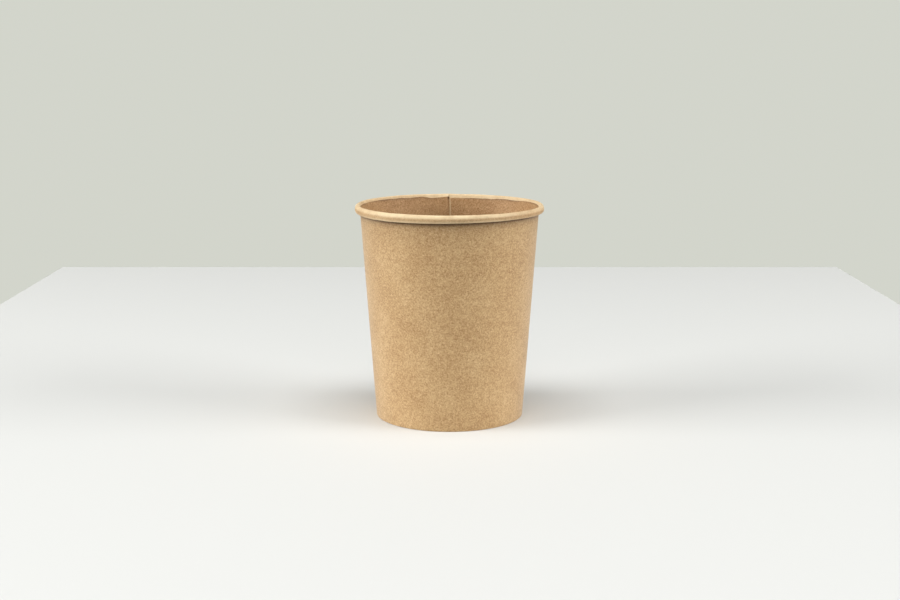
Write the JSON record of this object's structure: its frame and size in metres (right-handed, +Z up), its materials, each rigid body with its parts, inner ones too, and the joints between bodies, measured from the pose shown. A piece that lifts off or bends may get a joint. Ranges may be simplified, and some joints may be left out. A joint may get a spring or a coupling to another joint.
{
  "type": "paper soup container",
  "caption": "Tapered round kraft paper soup container with a rolled rim, a lapped side seam and a recessed bottom disc held in a folded hem.",
  "frame": {"origin": "centre of the foot ring, on the surface that the container stands on", "axes": "+Z up along the container's axis, through the open mouth; +Y towards the side seam, so -Y is the plain front"},
  "size_m": [0.117, 0.117, 0.133],
  "materials": {
    "kraft_wall_board": "matte brown kraft board with fine fibres, thinly coated inside",
    "kraft_bottom_board": "matte brown kraft board with fine fibres, thinly coated on its upper face"
  },
  "bodies": {
    "root": {"side_wall": "kraft_wall_board", "bottom_disc": "kraft_bottom_board"}
  },
  "joints": []
}
